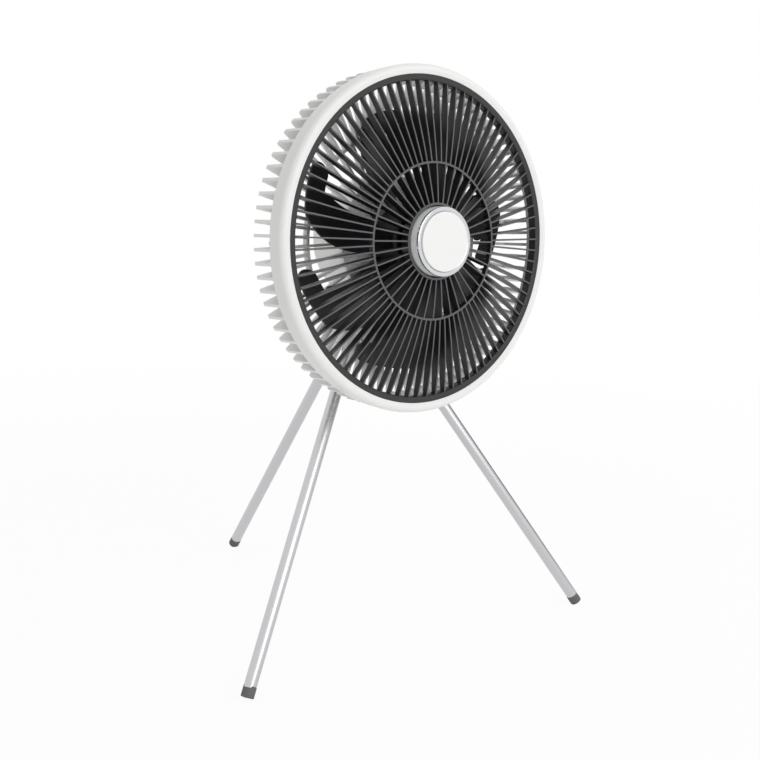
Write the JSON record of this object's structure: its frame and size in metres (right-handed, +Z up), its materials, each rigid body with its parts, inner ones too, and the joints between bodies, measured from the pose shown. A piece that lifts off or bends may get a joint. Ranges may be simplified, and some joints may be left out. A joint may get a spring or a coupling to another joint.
{
  "type": "portable camping fan",
  "caption": "Round-headed camping fan with a ribbed guard, swept-blade impeller, rear battery pod and tilt hinge on a folding tripod.",
  "frame": {"origin": "on the floor, under the centre of the overall box with the legs spread and the head at rest", "axes": "+Z up, -Y is the side that the fan blows to, +X is to the right seen from the front"},
  "size_m": [0.3282, 0.2855, 0.4238],
  "materials": {
    "white_shell": "satin",
    "white_cap": "gloss",
    "black_grille": "satin",
    "dark_blade": "satin",
    "silver_barrel": "satin",
    "bright_rim": "polished",
    "leg_metal": "brushed",
    "foot_rubber": "matte",
    "grey_joint": "matte",
    "pin_steel": "satin",
    "motor_steel": "satin",
    "motor_alloy": "cast",
    "copper": "lacquered wire",
    "cell_sleeve": "shrink sleeve",
    "board": "satin",
    "black_part": "matte",
    "light_guide": "clear"
  },
  "bodies": {
    "stand": {"tripod_hub": "white_shell", "leg_pins": "pin_steel", "tilt_pin": "pin_steel", "tilt_nut": "pin_steel", "tilt_washers": "black_part"},
    "head": {"battery_cells": "cell_sleeve", "battery_cradle": "black_part", "battery_lights": "light_guide", "bearing_front": "pin_steel", "bearing_rear": "pin_steel", "button_switch": "black_part", "centre_barrel": "silver_barrel", "centre_disc": "white_cap", "chrome_rim": "bright_rim", "control_board": "board", "front_bezel": "white_shell", "front_grille": "black_grille", "motor_mount": "motor_alloy", "motor_screws": "pin_steel", "pod_housing": "white_shell", "pod_screws": "pin_steel", "rear_guard": "white_shell", "ring_screws": "pin_steel", "stator_coils": "copper", "stator_core": "motor_steel", "usb_socket": "pin_steel"},
    "rotor": {"impeller": "dark_blade", "impeller_nut": "pin_steel", "motor_shaft": "pin_steel", "rotor_can": "motor_steel", "rotor_magnet": "motor_steel"},
    "button": {"power_button": "grey_joint"},
    "leg_left": {"leg_knuckle_left": "grey_joint", "leg_tube_left": "leg_metal", "foot_left": "foot_rubber"},
    "leg_right": {"leg_knuckle_right": "grey_joint", "leg_tube_right": "leg_metal", "foot_right": "foot_rubber"},
    "leg_rear": {"leg_knuckle_rear": "grey_joint", "leg_tube_rear": "leg_metal", "foot_rear": "foot_rubber"}
  },
  "joints": [
    {"name": "head_tilt", "type": "hinge", "parent": "stand", "child": "head", "pos_m": [0, -0.04594, 0.24093], "axis": [-1, 0, 0], "range_deg": [-2, 80]},
    {"name": "impeller_spin", "type": "hinge", "parent": "head", "child": "rotor", "pos_m": [0, -0.11376, 0.29991], "axis": [0, -0.9984, 0.0558], "continuous": true},
    {"name": "power_press", "type": "slide", "parent": "head", "child": "button", "axis": [0, -0.9984, 0.0558], "range_m": [0, 0.0008], "stiffness_N_per_m": 900, "springref_m": -0.0016},
    {"name": "leg_fold_left", "type": "hinge", "parent": "stand", "child": "leg_left", "pos_m": [-0.01949, -0.05719, 0.22573], "axis": [0.5, -0.866, 0], "range_deg": [0, 36]},
    {"name": "leg_fold_right", "type": "hinge", "parent": "stand", "child": "leg_right", "pos_m": [0.01949, -0.05719, 0.22573], "axis": [0.5, 0.866, 0], "range_deg": [0, 36]},
    {"name": "leg_fold_rear", "type": "hinge", "parent": "stand", "child": "leg_rear", "pos_m": [0, -0.02344, 0.22573], "axis": [-1, 0, 0], "range_deg": [0, 36]}
  ]
}
